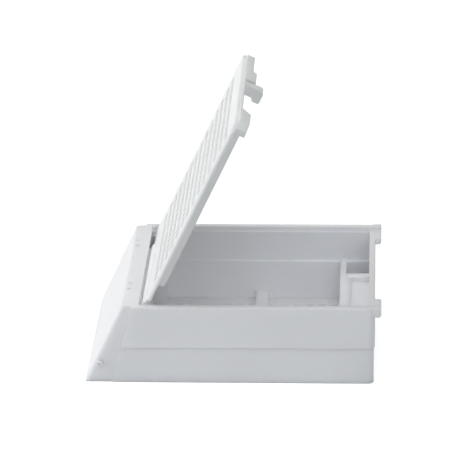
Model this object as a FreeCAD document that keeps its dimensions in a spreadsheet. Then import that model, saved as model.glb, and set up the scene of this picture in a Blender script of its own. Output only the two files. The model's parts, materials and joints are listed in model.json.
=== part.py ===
"""Tissue cassette with a deep well and a hinged lid, built as a parametric FreeCAD document.

Two mouldings: the base (writing slope, well, grille floor, latch bay) and the lid
(grille plate, skirts, end rail, hook), joined by two stub pins in blind bores.
All sizes are millimetres. The base sits with its bounding box centred over the origin.
"""
import os

import FreeCAD
import Part
import Sketcher

SIZES = {
    # base, outside
    "body_length": (40.0, "toe to outer face of the end wall, at the rim"),
    "body_width": (28.5, "across the upper side panels"),
    "body_height": (11.6, "underside to rim"),
    "end_inset": (0.15, "lower part of the end wall behind the upper part"),
    "slope_run": (5.4, "toe to head of the writing slope"),
    "cheek_inset": (0.6, "triangular cheek behind the upper panel"),
    "cheek_radius": (0.5, "edges between the slope and the cheeks"),
    "step_inset": (0.45, "lower panel behind the upper panel"),
    "step_level": (5.5, "underside of the upper panel"),
    "panel_foot": (3.9, "toe to the panels' slanted edge, at the underside"),
    "panel_head": (6.8, "toe to the panels' slanted edge, at the rim"),
    "corner_radius": (0.9, "upright corners of the end wall"),
    "lug_reach": (0.85, "lugs beyond the end wall"),
    "lug_span": (4.25, "width of each lug"),
    "lug_depth": (1.3, "rim to underside of the lugs"),
    "lug_radius": (0.35, "outer edges of the lugs"),
    "edge_radius": (0.2, "softened outer edges"),
    # base, inside
    "side_wall": (1.3, "side walls, above and below the ledge"),
    "ledge_level": (6.45, "ledge inside the side walls"),
    "end_wall": (0.85, "end wall at its top"),
    "end_drop": (0.5, "end wall top below the rim"),
    "rim_width": (1.0, "rim outside the lid's rebate"),
    "rebate_depth": (0.67, "seat of the lid below the rim"),
    "floor_wall": (0.55, "floor"),
    "slope_wall": (1.0, "writing slope plate"),
    "plateau_wall": (0.9, "plate between slope and hinge"),
    "plateau_end": (7.76, "toe to the hinge gap"),
    "hollow_inset": (1.6, "wedge hollow behind the upper panel"),
    "well_start": (9.65, "toe to the well"),
    "hinge_wall": (0.9, "cross wall between wedge and well"),
    "hinge_wall_drop": (1.3, "cross wall top below the rim"),
    "well_radius": (0.4, "upright corners of the well above the ledge, at the hinge"),
    "partition_face": (35.0, "toe to the partition"),
    "partition_wall": (0.85, "partition"),
    "partition_top": (6.7, "underside to partition top"),
    "web_gap": (13.6, "between the two webs of the latch bay"),
    "web_wall": (1.3, "webs"),
    "web_top": (6.6, "underside to web top"),
    "shelf_level": (5.95, "underside to the shelf between the webs"),
    "shelf_wall": (0.9, "shelf"),
    "rib_start": (22.7, "toe to the floor's cross rib"),
    "rib_width": (1.9, "cross rib"),
    "rib_rise": (1.1, "cross rib above the floor"),
    "dent_radius": (0.35, "dents in the plateau"),
    "dent_depth": (0.15, "dents in the plateau"),
    "dent_place": (6.1, "toe to the dents"),
    "dent_middle": (7.25, "centre line to the middle of a pair of dents"),
    "dent_pitch": (1.8, "between the dents of a pair"),
    "gate_radius": (0.35, "gate mark on the cheek"),
    "gate_rise": (0.25, "gate mark on the cheek"),
    "gate_place": (2.2, "toe to the gate mark"),
    "gate_level": (2.8, "underside to the gate mark"),
    # grilles in the floor and in the lid
    "hole_size": (1.05, "square perforations"),
    "bar_width": (0.72, "bars between perforations"),
    "hole_rows": (14, "perforations across the width"),
    "front_columns": (7, "perforations from the rib towards the hinge"),
    "rear_columns": (6, "perforations from the rib towards the partition"),
    "lid_columns": (14, "perforations along the lid"),
    # hinge
    "axis_place": (8.83, "toe to hinge axis"),
    "axis_drop": (0.44, "rim to hinge axis, also the radius of the lid's bead"),
    "knuckle_radius": (0.74, "thicker part of the lid's bead"),
    "knuckle_end": (6.5, "centre line to the thicker part's end on the plus Y side"),
    "pin_radius": (0.25, "stub pins"),
    "pin_play": (0.05, "radial play of the pins"),
    "pin_reach": (0.7, "stub pins beyond the lid's bead"),
    "lid_play": (0.1, "lid to side walls and rim, each side"),
    "open_angle": (64.5, "lid opening, in degrees from closed"),
    # lid
    "lid_length": (29.75, "hinge axis to plate end"),
    "lid_wall": (0.6, "lid plate"),
    "shoulder_start": (1.0, "hinge axis to the plate's side shoulders"),
    "grille_start": (3.2, "hinge axis to the lid's perforations"),
    "skirt_start": (3.6, "hinge axis to the side skirts"),
    "skirt_wall": (0.75, "side skirts"),
    "skirt_depth": (0.85, "side skirts below the plate"),
    "rail_start": (28.3, "hinge axis to the end rail"),
    "rail_end": (30.1, "hinge axis to the end rail's far face"),
    "rail_depth": (0.25, "end rail below the plate, in the gap"),
    "left_foot_depth": (1.5, "foot on the minus Y side below the plate"),
    "left_foot_span": (4.2, "flat of that foot, from the lid's side"),
    "left_foot_slant": (1.2, "slanted inner end of that foot"),
    "right_foot_depth": (1.15, "foot on the plus Y side below the plate"),
    "boss_depth": (1.7, "boss beside the hook below the plate"),
    "boss_start": (3.4, "centre line to the boss"),
    "boss_end": (7.0, "centre line to the far side of the boss"),
    "hook_middle": (2.4, "centre line to the hook's middle"),
    "hook_width": (1.6, "hook"),
    "hook_back": (28.55, "hinge axis to the hook's arm"),
    "hook_front": (30.0, "hinge axis to the hook's outer face"),
    "hook_depth": (3.1, "hook below the plate"),
    "barb_reach": (0.5, "barb beyond the arm"),
    "barb_depth": (1.35, "height of the barb"),
    "barb_rise": (0.3, "slant of the barb's upper face"),
    "hook_radius": (0.6, "outer corner of the hook's tip"),
    "barb_radius": (0.35, "inner corner of the hook's tip"),
    "left_corner_radius": (1.6, "upright far corner on the minus Y side"),
    "foot_corner": (1.0, "cut across the upright corner of the foot on that side"),
    "lid_radius": (0.45, "rounded far edge and side edges of the lid plate"),
}

doc = FreeCAD.newDocument("TissueCassette")
sheet = doc.addObject("Spreadsheet::Sheet", "Dims")
for row, (alias, (value, note)) in enumerate(SIZES.items(), start=1):
    sheet.set(f"A{row}", alias)
    sheet.set(f"B{row}", str(value))
    sheet.set(f"C{row}", note)
    sheet.setAlias(f"B{row}", alias)
doc.recompute()


def new_body(label):
    """Adds an empty body whose label names its STEP file."""
    body = doc.addObject("PartDesign::Body", label.capitalize())
    body.Label = label
    return body


def new_sketch(body, name, plane, height="0"):
    """Adds a sketch on one of the body's origin planes, lifted along the plane's normal."""
    sketch = body.newObject("Sketcher::SketchObject", name)
    origin_plane = next(item for item in body.Origin.OriginFeatures if item.Role == plane)
    sketch.AttachmentSupport = [(origin_plane, "")]
    sketch.MapMode = "FlatFace"
    sketch.setExpression("AttachmentOffset.Base.z", height)
    return sketch


def bind(sketch, kind, *items, size):
    """Adds one constraint whose value follows a sheet expression."""
    index = sketch.addConstraint(Sketcher.Constraint(kind, *items, float(sketch.evalExpression(size))))
    sketch.setExpression(f"Constraints[{index}]", size)


def outline(sketch, corners):
    """Draws a closed outline of straight edges; each corner is a pair of sheet expressions."""
    points = [
        FreeCAD.Vector(float(sketch.evalExpression(x)), float(sketch.evalExpression(y)), 0)
        for x, y in corners
    ]
    first = sketch.GeometryCount
    for start, end in zip(points, points[1:] + points[:1]):
        sketch.addGeometry(Part.LineSegment(start, end))
    for index, (x, y) in enumerate(corners):
        edge = first + index
        following = first + (index + 1) % len(corners)
        sketch.addConstraint(Sketcher.Constraint("Coincident", edge, 2, following, 1))
        bind(sketch, "DistanceX", -1, 1, edge, 1, size=x)
        bind(sketch, "DistanceY", -1, 1, edge, 1, size=y)


def rectangle(sketch, left, right, bottom, top):
    """Draws a rectangle between four sheet expressions."""
    outline(sketch, [(left, bottom), (right, bottom), (right, top), (left, top)])


def disc(sketch, x, y, radius):
    """Draws a circle; centre and radius are sheet expressions."""
    centre = FreeCAD.Vector(float(sketch.evalExpression(x)), float(sketch.evalExpression(y)), 0)
    normal = FreeCAD.Vector(0, 0, 1)
    index = sketch.addGeometry(Part.Circle(centre, normal, float(sketch.evalExpression(radius))))
    bind(sketch, "DistanceX", -1, 1, index, 3, size=x)
    bind(sketch, "DistanceY", -1, 1, index, 3, size=y)
    bind(sketch, "Radius", index, size=radius)


def extrude(body, kind, name, sketch, length, side="One side", reverse=False):
    """Pads or pockets a sketch; a length of None cuts through everything."""
    before = body.Shape.Volume if body.Tip else 0.0
    feature = body.newObject(kind, name)
    feature.Profile = sketch
    feature.SideType = side
    feature.Reversed = reverse
    if length is None:
        feature.Type = "ThroughAll"
    else:
        feature.setExpression("Length", length)
    sketch.Visibility = False
    doc.recompute()
    check(feature)
    change = feature.Shape.Volume - before
    if (change > 0) != (kind == "PartDesign::Pad"):
        raise RuntimeError(f"{feature.Label} changed the volume the wrong way by {change}")
    return feature


def pad(body, name, sketch, length, **options):
    """Adds material over a sketch."""
    return extrude(body, "PartDesign::Pad", name, sketch, length, **options)


def pocket(body, name, sketch, length, **options):
    """Cuts material under a sketch."""
    return extrude(body, "PartDesign::Pocket", name, sketch, length, **options)


def repeat(body, name, feature, columns, rows, spacing):
    """Repeats a feature in columns and rows along the two axes of its own sketch."""
    pattern = body.newObject("PartDesign::LinearPattern", name)
    pattern.Originals = [feature]
    pattern.Direction = (feature.Profile[0], ["H_Axis"])
    pattern.Direction2 = (feature.Profile[0], ["V_Axis"])
    pattern.Mode = "Spacing"
    pattern.Mode2 = "Spacing"
    pattern.setExpression("Occurrences", columns)
    pattern.setExpression("Occurrences2", rows)
    pattern.setExpression("Offset", spacing)
    pattern.setExpression("Offset2", spacing)
    body.Tip = pattern
    doc.recompute()
    check(pattern)
    return pattern


def soften(body, name, radius, wanted):
    """Rounds every edge of the body whose two ends satisfy the test."""
    base = body.Tip
    names = []
    for index, edge in enumerate(base.Shape.Edges, start=1):
        ends = [vertex.Point for vertex in edge.Vertexes]
        if len(ends) == 2 and wanted(*ends):
            names.append(f"Edge{index}")
    feature = body.newObject("PartDesign::Fillet", name)
    feature.Base = (base, names)
    feature.setExpression("Radius", radius)
    doc.recompute()
    check(feature)
    return feature


def check(item):
    """Stops the build at the first object that failed to compute."""
    if "Invalid" in item.State or "Error" in item.State:
        raise RuntimeError(f"{item.Label} failed: {item.State}")
    if item.isDerivedFrom("PartDesign::Feature") and not item.Shape.isValid():
        raise RuntimeError(f"{item.Label} has an invalid shape")


def near(first, second):
    """True for two lengths that agree to a thousandth."""
    return abs(first - second) < 1e-3


def size(expression):
    """Value of a sheet expression."""
    return float(sheet.evalExpression(expression))


# Expressions that several features share.
HALF_WIDTH = "Dims.body_width / 2"
LOW_HALF = "(Dims.body_width / 2 - Dims.step_inset)"
RIM_INNER = "(Dims.body_width / 2 - Dims.rim_width)"
WELL_HALF = "(Dims.body_width / 2 - Dims.side_wall)"
LOW_WELL_HALF = "(Dims.body_width / 2 - Dims.step_inset - Dims.side_wall)"
WELL_END = "(Dims.body_length - Dims.end_wall)"
BAY_START = "(Dims.partition_face + Dims.partition_wall)"
LOW_END = "(Dims.body_length - Dims.end_inset)"
LUG_END = "(Dims.body_length + Dims.lug_reach)"
BEAD_HALF = "(Dims.body_width / 2 - Dims.side_wall - Dims.lid_play)"
PIN_HALF = "(Dims.body_width / 2 - Dims.side_wall - Dims.lid_play + Dims.pin_reach)"
LID_HALF = "(Dims.body_width / 2 - Dims.rim_width - Dims.lid_play)"
LID_TOP = "Dims.axis_drop"
LID_UNDER = "(Dims.axis_drop - Dims.lid_wall)"
PITCH = "(Dims.hole_size + Dims.bar_width)"
GRILLE_HALF = "((Dims.hole_rows * Dims.hole_size + (Dims.hole_rows - 1) * Dims.bar_width) / 2)"


def grid_length(columns):
    """Length of a row of perforations with its bars."""
    return f"({columns} * Dims.hole_size + ({columns} - 1) * Dims.bar_width)"


def panel_edge(level):
    """Place of the side panels' slanted edge at a level above the underside."""
    return f"(Dims.panel_foot + (Dims.panel_head - Dims.panel_foot) * {level} / Dims.body_height)"


def grille(body, name, start, columns, level, depth):
    """Pierces a plate with one square hole and repeats it in columns and rows."""
    hole = new_sketch(body, f"{name}HolePlan", "XY_Plane", level)
    rectangle(hole, start, f"{start} + Dims.hole_size",
              f"-{GRILLE_HALF}", f"Dims.hole_size - {GRILLE_HALF}")
    first = pocket(body, f"{name}Hole", hole, depth)
    repeat(body, f"{name}Holes", first, columns, "Dims.hole_rows", PITCH)


def base_outside(body):
    """Solid outer form: wedge, stepped side panels, lugs and softened edges."""
    wedge = new_sketch(body, "WedgeSide", "XZ_Plane")
    outline(wedge, [
        ("0", "0"),
        ("Dims.well_start", "0"),
        ("Dims.well_start", "Dims.body_height"),
        ("Dims.slope_run", "Dims.body_height"),
    ])
    pad(body, "Wedge", wedge, "Dims.body_width - 2 * Dims.cheek_inset", side="Symmetric")
    cheek = size(f"{HALF_WIDTH} - Dims.cheek_inset")
    soften(body, "SlopeSides", "Dims.cheek_radius", lambda a, b: (
        near(abs(a.y), cheek) and near(a.y, b.y)
        and not near(a.x, b.x) and not near(a.z, b.z)))
    slope_head = size("Dims.slope_run")
    soften(body, "SlopeHead", "Dims.edge_radius", lambda a, b: (
        near(a.x, slope_head) and near(b.x, slope_head)))
    lower = new_sketch(body, "LowerSide", "XZ_Plane")
    outline(lower, [
        ("Dims.panel_foot", "0"),
        (LOW_END, "0"),
        (LOW_END, "Dims.step_level"),
        (panel_edge("Dims.step_level"), "Dims.step_level"),
    ])
    pad(body, "LowerPanels", lower, f"2 * {LOW_HALF}", side="Symmetric")
    upper = new_sketch(body, "UpperSide", "XZ_Plane")
    outline(upper, [
        (panel_edge("Dims.step_level"), "Dims.step_level"),
        ("Dims.body_length", "Dims.step_level"),
        ("Dims.body_length", "Dims.body_height"),
        ("Dims.panel_head", "Dims.body_height"),
    ])
    pad(body, "UpperPanels", upper, "Dims.body_width", side="Symmetric")
    far = size(LOW_END) - 1e-3
    soften(body, "EndCorners", "Dims.corner_radius", lambda a, b: (
        min(a.x, b.x) > far and not near(a.z, b.z) and near(a.y, b.y)))
    rim = size("Dims.body_height")
    side = size(HALF_WIDTH)
    soften(body, "RimEdges", "Dims.edge_radius", lambda a, b: (
        near(a.z, rim) and near(b.z, rim) and near(abs(a.y), side) and near(a.y, b.y)))
    lugs = new_sketch(body, "LugPlan", "XY_Plane", "Dims.body_height")
    lug_root = f"({WELL_END} + Dims.end_wall / 2)"
    for inner, outer in (
        (f"-{HALF_WIDTH} + Dims.lug_span", f"-{HALF_WIDTH}"),
        (f"{HALF_WIDTH} - Dims.lug_span", HALF_WIDTH),
    ):
        rectangle(lugs, lug_root, LUG_END, inner, outer)
    pad(body, "Lugs", lugs, "Dims.lug_depth", reverse=True)
    tip = size(LUG_END)
    soften(body, "LugEdges", "Dims.lug_radius", lambda a, b: (
        near(a.x, tip) and near(b.x, tip) and min(a.z, b.z) < rim - 1e-3))


def base_inside(body):
    """Rebate for the lid, well, latch bay, wedge hollow and hinge bores."""
    rebate = new_sketch(body, "RebatePlan", "XY_Plane", "Dims.body_height")
    rectangle(rebate, "Dims.plateau_end", WELL_END, f"-{RIM_INNER}", RIM_INNER)
    pocket(body, "Rebate", rebate, "Dims.rebate_depth")
    end_top = new_sketch(body, "EndTopPlan", "XY_Plane", "Dims.body_height")
    rectangle(end_top, WELL_END, f"{LUG_END} + Dims.lug_reach", f"-{RIM_INNER}", RIM_INNER)
    pocket(body, "EndTop", end_top, "Dims.end_drop")
    well = new_sketch(body, "WellPlan", "XY_Plane", "Dims.body_height")
    rectangle(well, "Dims.well_start", WELL_END, f"-{WELL_HALF}", WELL_HALF)
    pocket(body, "Well", well, "Dims.body_height - Dims.ledge_level")
    low_well = new_sketch(body, "LowWellPlan", "XY_Plane", "Dims.ledge_level")
    rectangle(low_well, "Dims.well_start", WELL_END, f"-{LOW_WELL_HALF}", LOW_WELL_HALF)
    pocket(body, "LowWell", low_well, "Dims.ledge_level - Dims.floor_wall")
    bay = new_sketch(body, "BayPlan", "XY_Plane", "Dims.floor_wall")
    rectangle(bay, BAY_START, WELL_END, f"-{LOW_WELL_HALF}", LOW_WELL_HALF)
    pocket(body, "Bay", bay, "Dims.floor_wall")
    start = size("Dims.well_start")
    well_side = size(WELL_HALF)
    soften(body, "WellCorners", "Dims.well_radius", lambda a, b: (
        near(a.x, start) and near(b.x, start) and near(abs(a.y), well_side)
        and near(a.y, b.y)))
    hollow = new_sketch(body, "HollowSide", "XZ_Plane")
    slope_gap = ("(Dims.slope_wall * sqrt(Dims.slope_run ^ 2 + Dims.body_height ^ 2)"
                 " / Dims.body_height)")
    hollow_top = "(Dims.body_height - Dims.plateau_wall)"
    hinge_back = "(Dims.well_start - Dims.hinge_wall)"
    outline(hollow, [
        (slope_gap, "0"),
        (hinge_back, "0"),
        (hinge_back, hollow_top),
        (f"{slope_gap} + Dims.slope_run * {hollow_top} / Dims.body_height", hollow_top),
    ])
    pocket(body, "Hollow", hollow, f"2 * ({HALF_WIDTH} - Dims.hollow_inset)", side="Symmetric")
    trough = new_sketch(body, "TroughPlan", "XY_Plane", "Dims.body_height")
    rectangle(trough, "Dims.plateau_end", "Dims.well_start", f"-{WELL_HALF}", WELL_HALF)
    pocket(body, "Trough", trough, "Dims.hinge_wall_drop")
    bores = new_sketch(body, "BoreSide", "XZ_Plane")
    disc(bores, "Dims.axis_place", "Dims.body_height - Dims.axis_drop",
         "Dims.pin_radius + Dims.pin_play")
    pocket(body, "Bores", bores, f"2 * ({PIN_HALF} + Dims.lid_play)", side="Symmetric")


def base_details(body):
    """Partition, webs, grille floor, cross rib and the small marks."""
    partition = new_sketch(body, "PartitionPlan", "XY_Plane")
    rectangle(partition, "Dims.partition_face", BAY_START, f"-{WELL_HALF}", WELL_HALF)
    pad(body, "Partition", partition, "Dims.partition_top")
    webs = new_sketch(body, "WebPlan", "XY_Plane")
    web_inner = "Dims.web_gap / 2"
    web_outer = "(Dims.web_gap / 2 + Dims.web_wall)"
    rectangle(webs, BAY_START, WELL_END, web_inner, web_outer)
    rectangle(webs, BAY_START, WELL_END, f"-{web_outer}", f"-{web_inner}")
    pad(body, "Webs", webs, "Dims.web_top")
    shelf = new_sketch(body, "ShelfSide", "XZ_Plane")
    rectangle(shelf, BAY_START, WELL_END, "Dims.shelf_level - Dims.shelf_wall", "Dims.shelf_level")
    pad(body, "Shelf", shelf, "Dims.web_gap", side="Symmetric")
    shelf_root = new_sketch(body, "ShelfRootSide", "XZ_Plane")
    disc(shelf_root, BAY_START, "Dims.shelf_level", "Dims.partition_top - Dims.shelf_level")
    pad(body, "ShelfRoot", shelf_root, "Dims.web_gap", side="Symmetric")
    rib_end = "(Dims.rib_start + Dims.rib_width)"
    rib = new_sketch(body, "RibPlan", "XY_Plane")
    rectangle(rib, "Dims.rib_start", rib_end, f"-{LOW_WELL_HALF}", LOW_WELL_HALF)
    pad(body, "Rib", rib, "Dims.floor_wall + Dims.rib_rise")
    dents = new_sketch(body, "DentPlan", "XY_Plane", "Dims.body_height")
    for turn in ("", "-"):
        for step in ("-", "+"):
            place = f"{turn}(Dims.dent_middle {step} Dims.dent_pitch / 2)"
            disc(dents, "Dims.dent_place", place, "Dims.dent_radius")
    pocket(body, "Dents", dents, "Dims.dent_depth")
    gate = new_sketch(body, "GateSide", "XZ_Plane", f"{HALF_WIDTH} - Dims.cheek_inset")
    disc(gate, "Dims.gate_place", "Dims.gate_level", "Dims.gate_radius")
    pad(body, "GateMark", gate, "Dims.gate_rise")
    front_start = f"(Dims.rib_start - {grid_length('Dims.front_columns')})"
    grille(body, "Front", front_start, "Dims.front_columns", "Dims.floor_wall", "Dims.floor_wall")
    grille(body, "Rear", rib_end, "Dims.rear_columns", "Dims.floor_wall", "Dims.floor_wall")


def build_base():
    """Base moulding, drawn from its toe and then centred on the origin."""
    body = new_body("base")
    base_outside(body)
    base_inside(body)
    base_details(body)
    body.setExpression("Placement.Base.x", f"-{LUG_END} / 2")
    return body


def build_lid():
    """Lid moulding, drawn closed about its hinge axis and then swung open."""
    body = new_body("lid")
    plate = new_sketch(body, "PlateSide", "XZ_Plane")
    rectangle(plate, "0", "Dims.lid_length", LID_UNDER, LID_TOP)
    pad(body, "Plate", plate, f"2 * {BEAD_HALF}", side="Symmetric")
    shoulders = new_sketch(body, "ShoulderSide", "XZ_Plane")
    rectangle(shoulders, "Dims.shoulder_start", "Dims.lid_length", LID_UNDER, LID_TOP)
    pad(body, "Shoulders", shoulders, f"2 * {LID_HALF}", side="Symmetric")
    far = size("Dims.lid_length")
    top = size(LID_TOP)
    side = size(LID_HALF)
    soften(body, "PlateCorner", "Dims.left_corner_radius", lambda a, b: (
        near(a.x, far) and near(b.x, far) and near(a.y, -side) and near(b.y, -side)))
    soften(body, "LidEdges", "Dims.lid_radius", lambda a, b: (
        near(a.z, top) and near(b.z, top) and (
            (near(a.x, far) and near(b.x, far))
            or (near(a.y, b.y) and near(abs(a.y), side)))))
    bead = new_sketch(body, "BeadSide", "XZ_Plane")
    disc(bead, "0", "0", "Dims.axis_drop")
    pad(body, "Bead", bead, f"2 * {BEAD_HALF}", side="Symmetric")
    knuckle = new_sketch(body, "KnuckleSide", "XZ_Plane", BEAD_HALF)
    disc(knuckle, "0", "0", "Dims.knuckle_radius")
    pad(body, "Knuckle", knuckle, f"{BEAD_HALF} + Dims.knuckle_end", reverse=True)
    pins = new_sketch(body, "PinSide", "XZ_Plane")
    disc(pins, "0", "0", "Dims.pin_radius")
    pad(body, "Pins", pins, f"2 * {PIN_HALF}", side="Symmetric")
    skirts = new_sketch(body, "SkirtPlan", "XY_Plane", LID_UNDER)
    for inner, outer in (
        (f"{BEAD_HALF} - Dims.skirt_wall", BEAD_HALF),
        (f"-{BEAD_HALF}", f"-({BEAD_HALF} - Dims.skirt_wall)"),
    ):
        rectangle(skirts, "Dims.skirt_start", "Dims.rail_start", inner, outer)
    pad(body, "Skirts", skirts, "Dims.skirt_depth", reverse=True)
    end_rail(body)
    hook(body)
    grille(body, "Lid", "Dims.grille_start", "Dims.lid_columns", LID_TOP, "Dims.lid_wall")
    place = FreeCAD.Vector(0, 0, 0)
    body.Placement = FreeCAD.Placement(place, FreeCAD.Rotation(FreeCAD.Vector(0, -1, 0), 1))
    body.setExpression("Placement.Base.x", f"Dims.axis_place - {LUG_END} / 2")
    body.setExpression("Placement.Base.z", "Dims.body_height - Dims.axis_drop")
    body.setExpression("Placement.Rotation.Angle", "Dims.open_angle * 1 deg")
    return body


def end_rail(body):
    """Uneven rail across the lid's far end: two feet, a gap and a boss beside the hook."""
    rail = new_sketch(body, "RailEnd", "YZ_Plane", "Dims.rail_start")
    left_low = f"({LID_UNDER} - Dims.left_foot_depth)"
    gap_low = f"({LID_UNDER} - Dims.rail_depth)"
    boss_low = f"({LID_UNDER} - Dims.boss_depth)"
    right_low = f"({LID_UNDER} - Dims.right_foot_depth)"
    foot_flat_end = f"(Dims.left_foot_span - {BEAD_HALF})"
    outline(rail, [
        (f"-{BEAD_HALF}", LID_UNDER),
        (f"-{BEAD_HALF}", left_low),
        (foot_flat_end, left_low),
        (f"{foot_flat_end} + Dims.left_foot_slant", gap_low),
        ("Dims.boss_start", gap_low),
        ("Dims.boss_start", boss_low),
        ("Dims.boss_end", boss_low),
        ("Dims.boss_end + Dims.boss_depth - Dims.right_foot_depth", right_low),
        (BEAD_HALF, right_low),
        (BEAD_HALF, LID_UNDER),
    ])
    pad(body, "Rail", rail, "Dims.rail_end - Dims.rail_start")
    corner = new_sketch(body, "FootCornerPlan", "XY_Plane", LID_UNDER)
    outline(corner, [
        ("Dims.rail_end - Dims.foot_corner", f"-{BEAD_HALF}"),
        ("Dims.rail_end", f"-{BEAD_HALF}"),
        ("Dims.rail_end", f"Dims.foot_corner - {BEAD_HALF}"),
    ])
    pocket(body, "FootCorner", corner, "Dims.left_foot_depth")


def hook(body):
    """Latch hook under the far end, with a barb that points back towards the hinge."""
    side = new_sketch(body, "HookSide", "XZ_Plane", "-(Dims.hook_middle - Dims.hook_width / 2)")
    tip = f"({LID_UNDER} - Dims.hook_depth)"
    barb_top = f"({tip} + Dims.barb_depth)"
    barb_tip = "(Dims.hook_back - Dims.barb_reach)"
    outline(side, [
        ("Dims.hook_back", LID_UNDER),
        ("Dims.hook_back", barb_top),
        (barb_tip, f"{barb_top} - Dims.barb_rise"),
        (barb_tip, tip),
        ("Dims.hook_front", tip),
        ("Dims.hook_front", LID_UNDER),
    ])
    pad(body, "Hook", side, "Dims.hook_width", reverse=True)
    low = size(tip)
    front = size("Dims.hook_front")
    back = size(barb_tip)
    soften(body, "HookTip", "Dims.hook_radius", lambda a, b: (
        near(a.x, front) and near(b.x, front) and near(a.z, low) and near(b.z, low)))
    soften(body, "BarbTip", "Dims.barb_radius", lambda a, b: (
        near(a.x, back) and near(b.x, back) and near(a.z, low) and near(b.z, low)))


parts = [build_base(), build_lid()]
doc.recompute()
for item in doc.Objects:
    check(item)
os.makedirs("parts", exist_ok=True)
for body in parts:
    shape = body.Shape
    if shape.isNull() or not shape.isValid() or len(shape.Solids) != 1:
        raise RuntimeError(f"{body.Label} is not one valid solid")
    shape.exportStep(f"parts/{body.Label}.step")
    box = shape.BoundBox
    print(body.Label, f"{shape.Volume:.1f} mm3", box)
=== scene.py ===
import json
import math

import bpy
import numpy as np
from mathutils import Matrix, Vector


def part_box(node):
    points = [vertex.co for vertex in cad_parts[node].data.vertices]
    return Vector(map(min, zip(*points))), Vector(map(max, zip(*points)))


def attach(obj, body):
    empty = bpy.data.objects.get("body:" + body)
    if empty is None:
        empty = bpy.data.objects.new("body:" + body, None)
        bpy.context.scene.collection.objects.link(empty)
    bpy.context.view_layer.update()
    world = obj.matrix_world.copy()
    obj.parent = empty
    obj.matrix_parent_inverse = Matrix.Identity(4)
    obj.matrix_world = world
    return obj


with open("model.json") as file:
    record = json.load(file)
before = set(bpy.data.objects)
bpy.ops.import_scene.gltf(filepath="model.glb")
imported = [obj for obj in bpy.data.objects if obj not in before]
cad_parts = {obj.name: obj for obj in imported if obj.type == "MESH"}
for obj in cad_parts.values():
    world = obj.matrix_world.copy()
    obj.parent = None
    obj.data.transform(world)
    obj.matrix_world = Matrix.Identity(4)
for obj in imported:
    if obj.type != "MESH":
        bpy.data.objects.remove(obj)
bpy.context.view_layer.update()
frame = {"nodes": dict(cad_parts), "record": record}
mm = 0.001
nodes = frame["nodes"]
record = frame["record"]
mounts = {mount["name"]: mount for mount in record["mounts"]}
baseLow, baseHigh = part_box("base")  # its lowest corner is the writing slope's toe
print("frame loaded:", ", ".join(sorted(nodes)))


def newNode(tree, kind, **settings):
    node = tree.nodes.new(kind)
    for key, value in settings.items():
        setattr(node, key, value)
    return node


def feed(tree, target, value):
    # a socket is linked, anything else is written on the input itself
    if isinstance(value, bpy.types.NodeSocket):
        tree.links.new(value, target)
    else:
        target.default_value = value


def newGroup(name, inputs, outputs):
    group = bpy.data.node_groups.new(name, "ShaderNodeTree")
    for label, kind, value in inputs:
        socket = group.interface.new_socket(label, in_out="INPUT", socket_type=kind)
        socket.default_value = value
    for label, kind in outputs:
        group.interface.new_socket(label, in_out="OUTPUT", socket_type=kind)
    return group, newNode(group, "NodeGroupInput"), newNode(group, "NodeGroupOutput")


def placeGroup(tree, group, **values):
    node = newNode(tree, "ShaderNodeGroup", node_tree=group)
    for label, value in values.items():
        feed(tree, node.inputs[label], value)
    return node


def maths(tree, operation, first, second=0.0, clamp=False):
    node = newNode(tree, "ShaderNodeMath", operation=operation, use_clamp=clamp)
    feed(tree, node.inputs[0], first)
    feed(tree, node.inputs[1], second)
    return node.outputs[0]


def mixColour(tree, share, first, second):
    node = newNode(tree, "ShaderNodeMix", data_type="RGBA")
    feed(tree, node.inputs[0], share)
    feed(tree, node.inputs[6], first)
    feed(tree, node.inputs[7], second)
    return node.outputs[2]


def remap(tree, value, low, high, newLow=0.0, newHigh=1.0):
    node = newNode(tree, "ShaderNodeMapRange", interpolation_type="SMOOTHSTEP")
    for index, number in enumerate((value, low, high, newLow, newHigh)):
        feed(tree, node.inputs[index], number)
    return node.outputs[0]


def noise(tree, place, scale, detail=None, roughness=None):
    node = newNode(tree, "ShaderNodeTexNoise")
    feed(tree, node.inputs["Vector"], place)
    feed(tree, node.inputs["Scale"], scale)
    if detail is not None:
        feed(tree, node.inputs["Detail"], detail)
    if roughness is not None:
        feed(tree, node.inputs["Roughness"], roughness)
    return node.outputs["Fac"]


def makeMeltFlow():
    # the resin cools unevenly: slow clouds and faint streaks along the flow
    cloudShare, streakFineness, streakStretch = 0.65, 5.0, (0.22, 1.0, 1.0)
    maskFrom, maskTo = 0.35, 0.65
    group, start, end = newGroup(
        "meltFlow",
        [("Colour", "NodeSocketColor", (1, 1, 1, 1)), ("Cloud", "NodeSocketColor", (1, 1, 1, 1)),
         ("Amount", "NodeSocketFloat", 0.5), ("Scale", "NodeSocketFloat", 60.0)],
        [("Colour", "NodeSocketColor")])
    place = newNode(group, "ShaderNodeTexCoord").outputs["Object"]
    clouds = noise(group, place, start.outputs["Scale"], detail=3.0)
    stretch = newNode(group, "ShaderNodeMapping")
    feed(group, stretch.inputs["Vector"], place)
    feed(group, stretch.inputs["Scale"], streakStretch)
    finer = maths(group, "MULTIPLY", start.outputs["Scale"], streakFineness)
    streaks = noise(group, stretch.outputs[0], finer, detail=2.0)
    both = maths(group, "ADD", maths(group, "MULTIPLY", clouds, cloudShare),
                 maths(group, "MULTIPLY", streaks, 1.0 - cloudShare))
    mask = remap(group, both, maskFrom, maskTo)
    share = maths(group, "MULTIPLY", mask, start.outputs["Amount"], clamp=True)
    feed(group, end.inputs["Colour"],
         mixColour(group, share, start.outputs["Colour"], start.outputs["Cloud"]))
    return group


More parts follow.
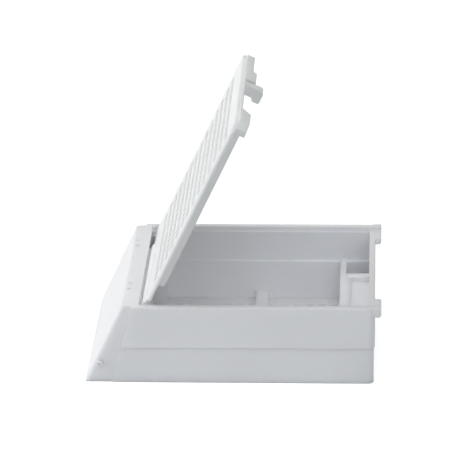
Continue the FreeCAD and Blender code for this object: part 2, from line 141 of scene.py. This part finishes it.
def makeSparkGrain():
    # the eroded steel of the mould leaves a fine even grain
    pitCoarseness, patchScale, patchFrom, patchTo = 0.6, 420.0, 0.3, 0.7
    group, start, end = newGroup(
        "sparkGrain",
        [("Size", "NodeSocketFloat", 0.00012), ("Pitting", "NodeSocketFloat", 0.5),
         ("Low", "NodeSocketFloat", 0.35), ("High", "NodeSocketFloat", 0.5)],
        [("Height", "NodeSocketFloat"), ("Roughness", "NodeSocketFloat")])
    place = newNode(group, "ShaderNodeTexCoord").outputs["Object"]
    perMetre = maths(group, "DIVIDE", 1.0, start.outputs["Size"])
    fine = noise(group, place, perMetre, detail=3.0, roughness=0.6)
    pits = newNode(group, "ShaderNodeTexVoronoi", feature="SMOOTH_F1")
    feed(group, pits.inputs["Vector"], place)
    feed(group, pits.inputs["Scale"], maths(group, "MULTIPLY", perMetre, pitCoarseness))
    craters = maths(group, "MULTIPLY", pits.outputs["Distance"], start.outputs["Pitting"])
    feed(group, end.inputs["Height"], maths(group, "ADD", fine, craters))
    feed(group, end.inputs["Roughness"],
         remap(group, noise(group, place, patchScale), patchFrom, patchTo,
               start.outputs["Low"], start.outputs["High"]))
    return group


def makeEdgeRoundingAndHighlight():
    # a moulded corner is never sharp: a rounded normal, and a mask along the edge that carries a painted
    # highlight
    broader, maskFrom, maskTo = 1.4, 0.02, 0.3
    group, start, end = newGroup(
        "softEdge",
        [("Radius", "NodeSocketFloat", 0.2 * mm), ("Spread", "NodeSocketFloat", 1.0)],
        [("Normal", "NodeSocketVector"), ("Edge", "NodeSocketFloat")])
    rounded = newNode(group, "ShaderNodeBevel", samples=8)
    feed(group, rounded.inputs["Radius"], start.outputs["Radius"])
    broad = newNode(group, "ShaderNodeBevel", samples=8)
    feed(group, broad.inputs["Radius"], maths(group, "MULTIPLY", start.outputs["Radius"], broader))
    same = newNode(group, "ShaderNodeVectorMath", operation="DOT_PRODUCT")
    feed(group, same.inputs[0], broad.outputs[0])
    feed(group, same.inputs[1], newNode(group, "ShaderNodeNewGeometry").outputs["Normal"])
    away = maths(group, "SUBTRACT", 1.0, same.outputs["Value"])
    feed(group, end.inputs["Normal"], rounded.outputs[0])
    feed(group, end.inputs["Edge"],
         remap(group, maths(group, "MULTIPLY", away, start.outputs["Spread"]), maskFrom, maskTo))
    return group


def makeHandling():
    # hair-fine rubs from sorting and packing, in two crossing directions
    tilt, crossing, hairScale = 0.3, (0.5, -0.9), (90.0, 4200.0, 900.0)
    hairFrom, hairTo, placeScale, placeFrom, placeTo = 0.66, 0.74, 150.0, 0.45, 0.65
    group, start, end = newGroup(
        "handling",
        [("Amount", "NodeSocketFloat", 0.5)],
        [("Rubs", "NodeSocketFloat")])
    place = newNode(group, "ShaderNodeTexCoord").outputs["Object"]
    hairs = []
    for turn in crossing:
        turned = newNode(group, "ShaderNodeMapping")
        feed(group, turned.inputs["Vector"], place)
        feed(group, turned.inputs["Rotation"], (tilt, turn, turn))
        feed(group, turned.inputs["Scale"], hairScale)
        hairs.append(remap(group, noise(group, turned.outputs[0], 1.0, detail=1.0), hairFrom, hairTo))
    rubs = maths(group, "MAXIMUM", *hairs)
    patches = remap(group, noise(group, place, placeScale), placeFrom, placeTo)
    feed(group, end.inputs["Rubs"],
         maths(group, "MULTIPLY", maths(group, "MULTIPLY", rubs, patches), start.outputs["Amount"]))
    return group


def makeFacing():
    # one where the surface faces the given way, nothing elsewhere
    group, start, end = newGroup(
        "facing",
        [("Direction", "NodeSocketVector", (0.0, 0.0, 1.0)), ("From", "NodeSocketFloat", 0.95),
         ("To", "NodeSocketFloat", 0.99)],
        [("Mask", "NodeSocketFloat")])
    along = newNode(group, "ShaderNodeVectorMath", operation="DOT_PRODUCT")
    feed(group, along.inputs[0], newNode(group, "ShaderNodeTexCoord").outputs["Normal"])
    feed(group, along.inputs[1], start.outputs["Direction"])
    feed(group, end.inputs["Mask"],
         remap(group, along.outputs["Value"], start.outputs["From"], start.outputs["To"]))
    return group


meltFlow = makeMeltFlow()
sparkGrain = makeSparkGrain()
softEdge = makeEdgeRoundingAndHighlight()
handling = makeHandling()
facing = makeFacing()
print("shared effects made:", len(bpy.data.node_groups))


def linear(colour):
    return (colour[0], colour[1], colour[2], 1.0)


def addZone(tree, zone, look, colour, roughness, height):
    # a face with a finish of its own, or with painted shade: its colour, more roughness and a second grain,
    # under one mask
    mask = placeGroup(tree, facing, Direction=zone["direction"], From=zone["from"],
                      To=zone["to"]).outputs["Mask"]
    grain = placeGroup(tree, sparkGrain, Size=zone["grainSize"], Pitting=look["pitting"],
                       Low=look["roughness"][0], High=look["roughness"][1])
    relief = maths(tree, "MULTIPLY", grain.outputs["Height"], maths(tree, "MULTIPLY", mask, zone["relief"]))
    return (mixColour(tree, mask, colour, linear(zone["colour"])),
            maths(tree, "ADD", roughness, maths(tree, "MULTIPLY", mask, zone["rougher"])),
            maths(tree, "ADD", height, relief))


def makeResin(name, look):
    material = bpy.data.materials.new(name)
    material.use_nodes = True
    tree = material.node_tree
    tree.nodes.clear()
    output = newNode(tree, "ShaderNodeOutputMaterial")
    shader = newNode(tree, "ShaderNodeBsdfPrincipled")
    shader.inputs["IOR"].default_value = look["ior"]
    shader.inputs["Subsurface Weight"].default_value = look["glow"]
    shader.inputs["Subsurface Radius"].default_value = look["glowColour"]
    shader.inputs["Subsurface Scale"].default_value = look["glowDepth"]

    flow = placeGroup(tree, meltFlow, Colour=linear(look["colour"]), Cloud=linear(look["cloud"]),
                      Amount=look["cloudAmount"], Scale=look["cloudScale"])
    edge = placeGroup(tree, softEdge, Radius=look["edgeRadius"], Spread=look["edgeSpread"])
    grain = placeGroup(tree, sparkGrain, Size=look["grainSize"], Pitting=look["pitting"],
                       Low=look["roughness"][0], High=look["roughness"][1])
    rubs = placeGroup(tree, handling, Amount=look["rubs"]).outputs["Rubs"]

    colour, roughness, height = flow.outputs["Colour"], grain.outputs["Roughness"], grain.outputs["Height"]
    for zone in look["zones"]:
        colour, roughness, height = addZone(tree, zone, look, colour, roughness, height)

    # painted highlight: every edge is mixed toward a paler colour; the same pale colour also marks the
    # handling rubs, which are wear
    highlightAndRubPale = linear(look["edgeColour"])
    edgeHighlightShare = maths(tree, "MULTIPLY", edge.outputs["Edge"], look["edgeLight"])
    colour = mixColour(tree, edgeHighlightShare, colour, highlightAndRubPale)
    colour = mixColour(tree, maths(tree, "MULTIPLY", rubs, look["rubPaleness"]), colour, highlightAndRubPale)
    dulled = maths(tree, "MULTIPLY", rubs, look["rubDulling"])
    bump = newNode(tree, "ShaderNodeBump")
    feed(tree, bump.inputs["Strength"], look["grainStrength"])
    feed(tree, bump.inputs["Distance"], look["grainDepth"])
    feed(tree, bump.inputs["Height"], maths(tree, "SUBTRACT", height, rubs))
    feed(tree, bump.inputs["Normal"], edge.outputs["Normal"])

    feed(tree, shader.inputs["Base Color"], colour)
    feed(tree, shader.inputs["Roughness"], maths(tree, "ADD", roughness, dulled, clamp=True))
    feed(tree, shader.inputs["Normal"], bump.outputs[0])
    tree.links.new(shader.outputs[0], output.inputs["Surface"])
    return material


# the writing face is frosted so that it takes a pencil
writingZone = {
    "direction": mounts["writing_slope"]["axis"], "from": 0.985, "to": 0.997,
    "colour": (0.918, 0.92, 0.94), "rougher": 0.16, "grainSize": 0.05 * mm, "relief": 1.6,
}
# painted shade: the lid's sides are coloured a little greyer than its faces; they also get more roughness
# and a finer grain
sideShadeZone = {
    "from": 0.93, "to": 0.99,
    "colour": (0.80, 0.803, 0.80), "rougher": 0.08, "grainSize": 0.08 * mm, "relief": 0.6,
}
baseResin = {
    "colour": (0.915, 0.914, 0.943), "cloud": (0.895, 0.894, 0.926), "cloudAmount": 0.6, "cloudScale": 70.0,
    "roughness": (0.38, 0.50),
    "grainSize": 0.11 * mm, "grainDepth": 0.012 * mm, "grainStrength": 0.5, "pitting": 0.5,
    "edgeColour": (0.975, 0.978, 0.985), "edgeLight": 0.85, "edgeRadius": 0.27 * mm, "edgeSpread": 1.0,
    "rubs": 0.5, "rubPaleness": 0.25, "rubDulling": 0.2,
    "ior": 1.48, "glow": 0.6, "glowColour": (1.0, 1.0, 1.0), "glowDepth": 1.4 * mm,
    "zones": [writingZone],
}
# painted light: the lid's resin is the base resin made a little lighter, so the lid's broad faces come out
# brighter; its edges get a weaker painted highlight
lidResin = dict(
    baseResin, colour=(0.94, 0.955, 0.947), cloud=(0.92, 0.937, 0.93),
    edgeRadius=0.16 * mm, edgeLight=0.5,
    zones=[dict(sideShadeZone, direction=(0.0, -1.0, 0.0)), dict(sideShadeZone, direction=(0.0, 1.0, 0.0))])

resins = {"base": makeResin("acetalBase", baseResin), "lid": makeResin("acetalLid", lidResin)}
for nodeName, resin in resins.items():
    for materialSlot in nodes[nodeName].material_slots:
        materialSlot.material = resin
print("resin on", len(nodes), "mouldings")


def addPiece(name, points, faces, body):
    mesh = bpy.data.meshes.new(name)
    mesh.from_pydata(points.tolist(), [], faces)
    mesh.shade_smooth()
    mesh.materials.append(resins[body])
    piece = bpy.data.objects.new(name, mesh)
    bpy.context.scene.collection.objects.link(piece)
    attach(piece, body)


def ringFaces(start, count):
    # quads between each ring of points and the next, the way round that points outward
    here = np.arange(count)
    after = (here + 1) % count
    start = start[:, None] * count
    quads = np.stack([start + here, start + count + here, start + count + after, start + after], axis=-1)
    return quads.reshape(-1, 4).tolist()


def roundMark(look, middle, normal, across):
    # a disc turned about its normal: a smooth rise from the dish to the rim, a quarter round down
    # to the foot, and a closed underside; a wave of threes and fives makes its outline uneven
    rings, turns = look["rings"], look["turns"]
    reach = np.linspace(0.0, 1.0, rings + 1)[1:]
    angle = np.linspace(0.0, 2 * np.pi, turns, endpoint=False)
    inner = np.clip(reach / look["rimAt"], 0.0, 1.0)
    outer = np.clip((reach - look["rimAt"]) / (1.0 - look["rimAt"]), 0.0, 1.0)
    rise = look["dish"] + (look["rim"] - look["dish"]) * inner * inner * (3 - 2 * inner)
    rise = rise * np.sqrt(1.0 - outer * outer)
    rise[-1] = -look["sink"]
    wave = 0.6 * np.sin(3 * angle + 1.0) + 0.4 * np.sin(5 * angle + 2.0)
    tilt = np.sin(angle + look["leanTurn"])
    radius = look["radius"] * reach[:, None] * (1.0 + look["wobble"] * wave * reach[:, None])
    lift = rise[:, None] * (1.0 + look["lean"] * tilt * reach[:, None])
    second = np.cross(normal, across)
    ring = (radius * np.cos(angle))[..., None] * across + (radius * np.sin(angle))[..., None] * second
    ring = middle + ring + lift[..., None] * normal
    top = middle + look["dish"] * normal
    foot = middle - look["sink"] * normal
    points = np.concatenate([ring.reshape(-1, 3), top[None], foot[None]])
    here = np.arange(turns)
    after = (here + 1) % turns
    last = (rings - 1) * turns
    crown = np.stack([np.full(turns, rings * turns), here, after], axis=-1)
    under = np.stack([np.full(turns, rings * turns + 1), last + after, last + here], axis=-1)
    return points, ringFaces(np.arange(rings - 1), turns) + crown.tolist() + under.tolist()


def roundMarks(name, look, middles, normal, across, body):
    points, faces, count = [], [], 0
    for middle in middles:
        some, corners = roundMark(look, middle, np.array(normal), np.array(across))
        faces += [[corner + count for corner in face] for face in corners]
        points.append(some)
        count += len(some)
    addPiece(name, np.concatenate(points), faces, body)


hinge = record["behaviour"]["joints"][0]
axis = np.array(hinge["pos_m"])
openAngle = math.radians(hinge["range_deg"][1])  # the lid closes by this much from where it stands
lidWay = np.array((math.cos(openAngle), 0.0, math.sin(openAngle)))  # from the hinge to the lid's end
lidInward = np.array((math.sin(openAngle), 0.0, -math.cos(openAngle)))
toe = baseLow[0]

pinMarks = {
    # the round witness of each ejector pin, on the lid's inside and on the floor's cross rib
    "radius": 0.55 * mm, "rimAt": 0.86, "rim": 0.035 * mm, "dish": 0.012 * mm, "sink": 0.05 * mm,
    "wobble": 0.0, "lean": 0.0, "leanTurn": 0.0, "rings": 14, "turns": 40,
    "lidReach": 1.75 * mm, "lidUnder": 0.16 * mm, "lidRow": (-8.0 * mm, 0.0, 8.0 * mm),
    "ribPlace": mounts["underside"]["pos_m"][0], "ribTop": 1.65 * mm, "ribRow": (-8.0 * mm, 0.0, 6.0 * mm),
}
lidStrip = axis + lidWay * pinMarks["lidReach"] + lidInward * pinMarks["lidUnder"]
lidMiddles = [lidStrip + np.array((0.0, aside, 0.0)) for aside in pinMarks["lidRow"]]
roundMarks("lidPinMarks", pinMarks, lidMiddles, lidInward, (0.0, 1.0, 0.0), "lid")
ribMiddles = [np.array((pinMarks["ribPlace"], aside, pinMarks["ribTop"])) for aside in pinMarks["ribRow"]]
roundMarks("ribPinMarks", pinMarks, ribMiddles, (0.0, 0.0, 1.0), (1.0, 0.0, 0.0), "base")

gateScar = {
    # where the runner broke off: an uneven crater over the small boss on the cheek
    "radius": 0.52 * mm, "rimAt": 0.68, "rim": 0.46 * mm, "dish": 0.27 * mm, "sink": 0.05 * mm,
    "wobble": 0.12, "lean": 0.25, "leanTurn": 0.6, "rings": 18, "turns": 48,
    "fromToe": 2.2 * mm, "cheekInset": 0.6 * mm, "level": 2.8 * mm,
}
gateMiddle = np.array((toe + gateScar["fromToe"], baseLow[1] + gateScar["cheekInset"], gateScar["level"]))
roundMarks("gateScar", gateScar, [gateMiddle], (0.0, -1.0, 0.0), (1.0, 0.0, 0.0), "base")

hingeFilm = {
    # a thin web on the plateau's end that closes the gap down to the lid's round knuckle
    "wallFromToe": 7.75 * mm, "knuckle": 0.74 * mm, "play": 0.04 * mm,
    "crest": 0.20 * mm, "sag": 0.05 * mm, "depth": 0.22 * mm,
    "from": -12.3 * mm, "to": 6.4 * mm, "steps": 24, "nearPoints": 7, "acrossPoints": 9,
}


def makeHingeFilm(look):
    # one closed section carried along the hinge: the near side follows the knuckle's circle,
    # the top climbs to the wall by a cube of the distance, the underside is flat
    wall = toe + look["wallFromToe"]
    reach = look["knuckle"] + look["play"]
    level = np.linspace(look["sag"], look["sag"] - look["depth"], look["nearPoints"])
    nearX = axis[0] - np.sqrt(reach ** 2 - level ** 2)
    near = np.stack([nearX, axis[2] + level], axis=1)
    share = np.linspace(0.0, 1.0, look["acrossPoints"])[1:]
    topX = nearX[0] + (wall - nearX[0]) * share
    topZ = axis[2] + look["sag"] + (look["crest"] - look["sag"]) * share ** 3
    lowX = wall + (nearX[-1] - wall) * share[:-1]
    low = np.stack([lowX, np.full(len(lowX), near[-1, 1])], axis=1)
    section = np.concatenate([near[::-1], np.stack([topX, topZ], axis=1), low])
    count, steps = len(section), look["steps"]
    points = np.empty((steps, count, 3))
    points[..., 0] = section[:, 0]
    points[..., 1] = np.linspace(look["from"], look["to"], steps)[:, None]
    points[..., 2] = section[:, 1]
    here = np.arange(count)
    ends = [here.tolist(), (here[::-1] + (steps - 1) * count).tolist()]
    addPiece("hingeFilm", points.reshape(-1, 3), ringFaces(np.arange(steps - 1), count) + ends, "base")


makeHingeFilm(hingeFilm)
print("detail pieces made")


studio = {
    "floorSize": 6.0, "floorColour": (0.91, 0.91, 0.91), "floorLift": 0.6,
    "ambient": 0.02, "ambientColour": (0.96, 0.98, 1.0),
    "aim": (0.0, 0.0, 0.012), "lampSize": 0.45,
    "lamps": {
        "highLeft": {"place": (-0.45, 0.40, 0.45), "power": 1.8, "colour": (0.99, 1.0, 1.0)},
        "lowLeft": {"place": (-0.60, -0.10, 0.10), "power": 2.0, "colour": (0.98, 0.99, 1.0)},
        "frontHigh": {"place": (0.05, -0.50, 0.62), "power": 1.4, "colour": (0.95, 1.0, 1.0)},
        "frontRight": {"place": (0.45, -0.50, 0.40), "power": 0.8, "colour": (1.0, 1.0, 0.97)},
        "front": {"place": (0.05, -0.75, 0.30), "power": 0.15, "colour": (0.3, 0.55, 1.0)},
        "overhead": {"place": (0.0, 0.0, 0.75), "power": 1.05, "colour": (1.0, 1.0, 1.0)},
    },
}


def seenDirectly(tree):
    # one for rays that show the backdrop itself, nothing for those that light the object
    rays = newNode(tree, "ShaderNodeLightPath")
    return maths(tree, "MAXIMUM", rays.outputs["Is Camera Ray"],
                 maths(tree, "MAXIMUM", rays.outputs["Is Glossy Ray"], rays.outputs["Is Transmission Ray"]))


def makeFloor(look):
    # one flat square; the side seen by the camera is lifted to a clean white and keeps the shadow
    half = look["floorSize"] / 2
    mesh = bpy.data.meshes.new("floor")
    mesh.from_pydata([(-half, -half, 0), (half, -half, 0), (half, half, 0), (-half, half, 0)],
                     [], [(0, 1, 2, 3)])
    floor = bpy.data.objects.new("floor", mesh)
    bpy.context.scene.collection.objects.link(floor)
    material = bpy.data.materials.new("paleTable")
    material.use_nodes = True
    tree = material.node_tree
    tree.nodes.clear()
    output = newNode(tree, "ShaderNodeOutputMaterial")
    paint = newNode(tree, "ShaderNodeBsdfDiffuse")
    paint.inputs["Color"].default_value = linear(look["floorColour"])
    lift = newNode(tree, "ShaderNodeEmission")
    feed(tree, lift.inputs["Strength"], maths(tree, "MULTIPLY", seenDirectly(tree), look["floorLift"]))
    both = newNode(tree, "ShaderNodeAddShader")
    tree.links.new(paint.outputs[0], both.inputs[0])
    tree.links.new(lift.outputs[0], both.inputs[1])
    tree.links.new(both.outputs[0], output.inputs["Surface"])
    mesh.materials.append(material)


def makeWorld(look):
    world = bpy.data.worlds.new("studio")
    bpy.context.scene.world = world
    world.use_nodes = True
    tree = world.node_tree
    tree.nodes.clear()
    output = newNode(tree, "ShaderNodeOutputWorld")
    seen = seenDirectly(tree)
    room = newNode(tree, "ShaderNodeBackground")
    feed(tree, room.inputs["Color"], mixColour(tree, seen, linear(look["ambientColour"]), (1, 1, 1, 1)))
    feed(tree, room.inputs["Strength"], remap(tree, seen, 0.0, 1.0, look["ambient"], 1.0))
    tree.links.new(room.outputs[0], output.inputs["Surface"])


def makeLamps(look):
    aim = Vector(look["aim"])
    for name, lamp in look["lamps"].items():
        light = bpy.data.lights.new(name, "AREA")
        light.shape = "SQUARE"
        light.size = look["lampSize"]
        light.energy = lamp["power"]
        light.color = lamp["colour"]
        holder = bpy.data.objects.new(name, light)
        holder.location = lamp["place"]
        holder.rotation_euler = (aim - Vector(lamp["place"])).to_track_quat("-Z", "Y").to_euler()
        bpy.context.scene.collection.objects.link(holder)


makeFloor(studio)
makeWorld(studio)
makeLamps(studio)
print("studio set, lamps:", len(studio["lamps"]))


lens = {
    "place": (0.01999, -0.36615, 0.17943), "turn": -3.26, "down": 23.88, "roll": -1.08,
    "length": 225.6, "sensor": 36.0, "near": 0.01, "far": 20.0,
}


def makeCamera(look):
    # turn is about the vertical, down is below the horizon, roll is about the line of sight
    turn, down, roll = (math.radians(look[key]) for key in ("turn", "down", "roll"))
    ahead = Vector((math.sin(turn) * math.cos(down), math.cos(turn) * math.cos(down), -math.sin(down)))
    level = Vector((math.cos(turn), -math.sin(turn), 0.0))
    above = level.cross(ahead)
    right = level * math.cos(roll) + above * math.sin(roll)
    up = above * math.cos(roll) - level * math.sin(roll)
    data = bpy.data.cameras.new("camera")
    data.lens = look["length"]
    data.sensor_width = look["sensor"]
    data.clip_start = look["near"]
    data.clip_end = look["far"]
    camera = bpy.data.objects.new("camera", data)
    columns = Matrix((right, up, -ahead)).transposed()
    camera.matrix_world = Matrix.Translation(Vector(look["place"])) @ columns.to_4x4()
    bpy.context.scene.collection.objects.link(camera)
    bpy.context.scene.camera = camera


makeCamera(lens)
bpy.context.scene.view_settings.view_transform = "Standard"
print("camera set")
